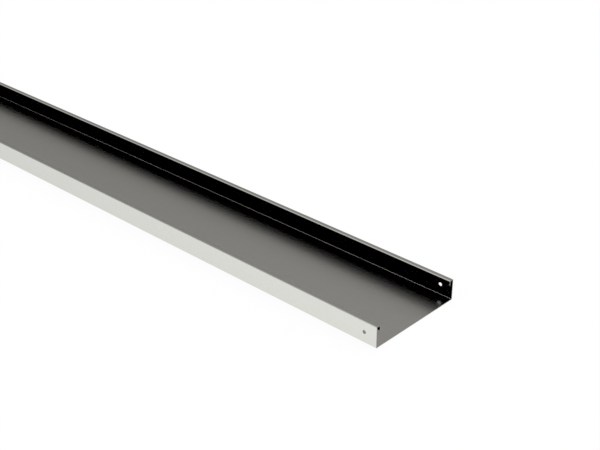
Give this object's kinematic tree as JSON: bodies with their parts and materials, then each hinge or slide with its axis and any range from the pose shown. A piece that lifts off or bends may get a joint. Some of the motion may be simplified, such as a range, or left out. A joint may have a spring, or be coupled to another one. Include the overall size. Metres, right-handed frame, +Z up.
{
  "type": "solid cable tray",
  "caption": "Straight unperforated sheet-steel cable tray: flat floor, low side walls with turned-in lips, and round bolt holes near the ends for joining lengths.",
  "frame": {"origin": "on the underside of the floor, half way along the length and half way across the width", "axes": "+X along the tray, +Y across it, +Z up from the underside towards the open top"},
  "size_m": [3, 0.2, 0.04],
  "materials": {
    "zinc_coated_steel": "clean, smooth zinc coating, satin"
  },
  "bodies": {
    "root": {"cable_tray": "zinc_coated_steel"}
  },
  "joints": []
}
